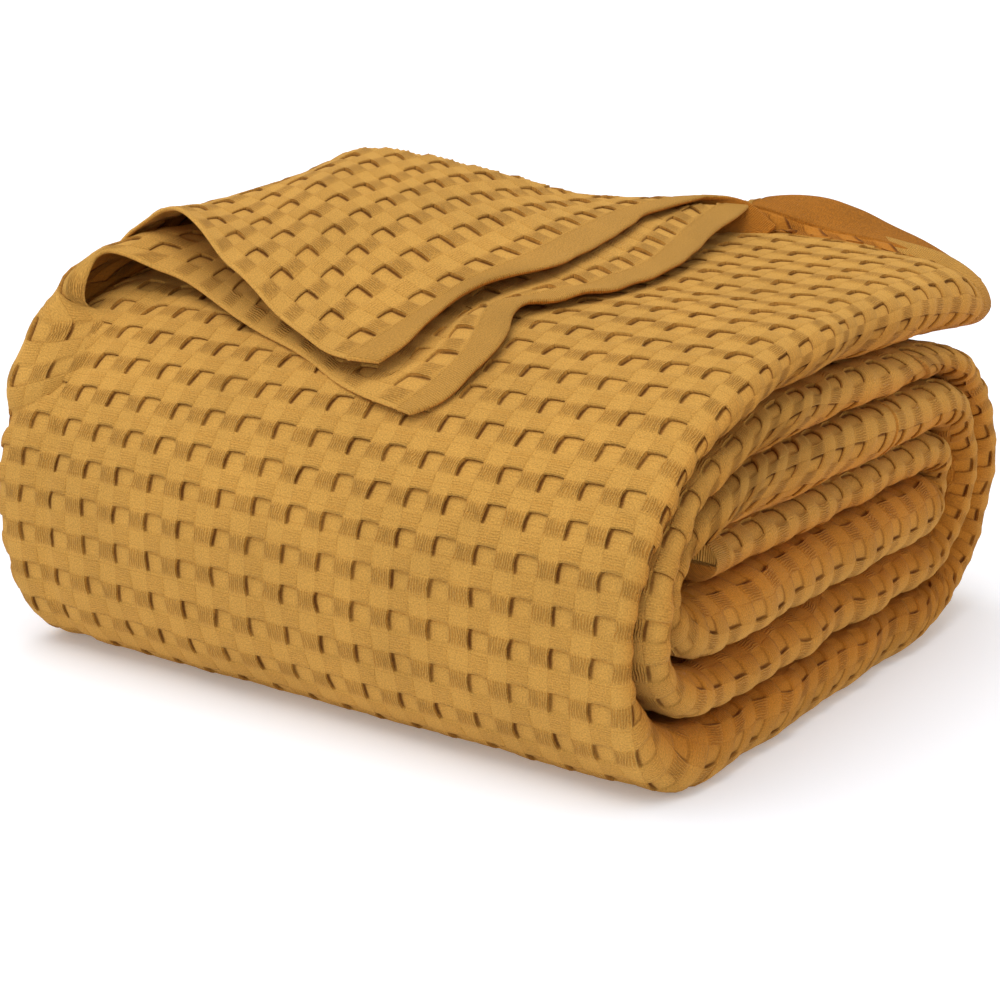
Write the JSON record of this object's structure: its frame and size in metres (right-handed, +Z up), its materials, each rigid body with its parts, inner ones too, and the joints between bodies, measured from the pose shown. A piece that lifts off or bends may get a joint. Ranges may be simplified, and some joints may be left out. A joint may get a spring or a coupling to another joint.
{
  "type": "waffle weave cotton blanket",
  "caption": "Waffle weave cotton blanket, folded lengthwise to a strip and rolled up flat, with the corner of its outer end turned over on top.",
  "frame": {"origin": "centre of the roll's box at its underside, on the surface that it rests on", "axes": "+Z up; X along the roll, +X towards the end that shows the wound runs best; -Y towards the rounded front; +Y towards the hemmed outer end"},
  "size_m": [0.2995, 0.299, 0.1846],
  "materials": {
    "waffle_cotton": "matt mustard cotton, waffle weave"
  },
  "bodies": {
    "root": {"blanket": "waffle_cotton"}
  },
  "joints": []
}
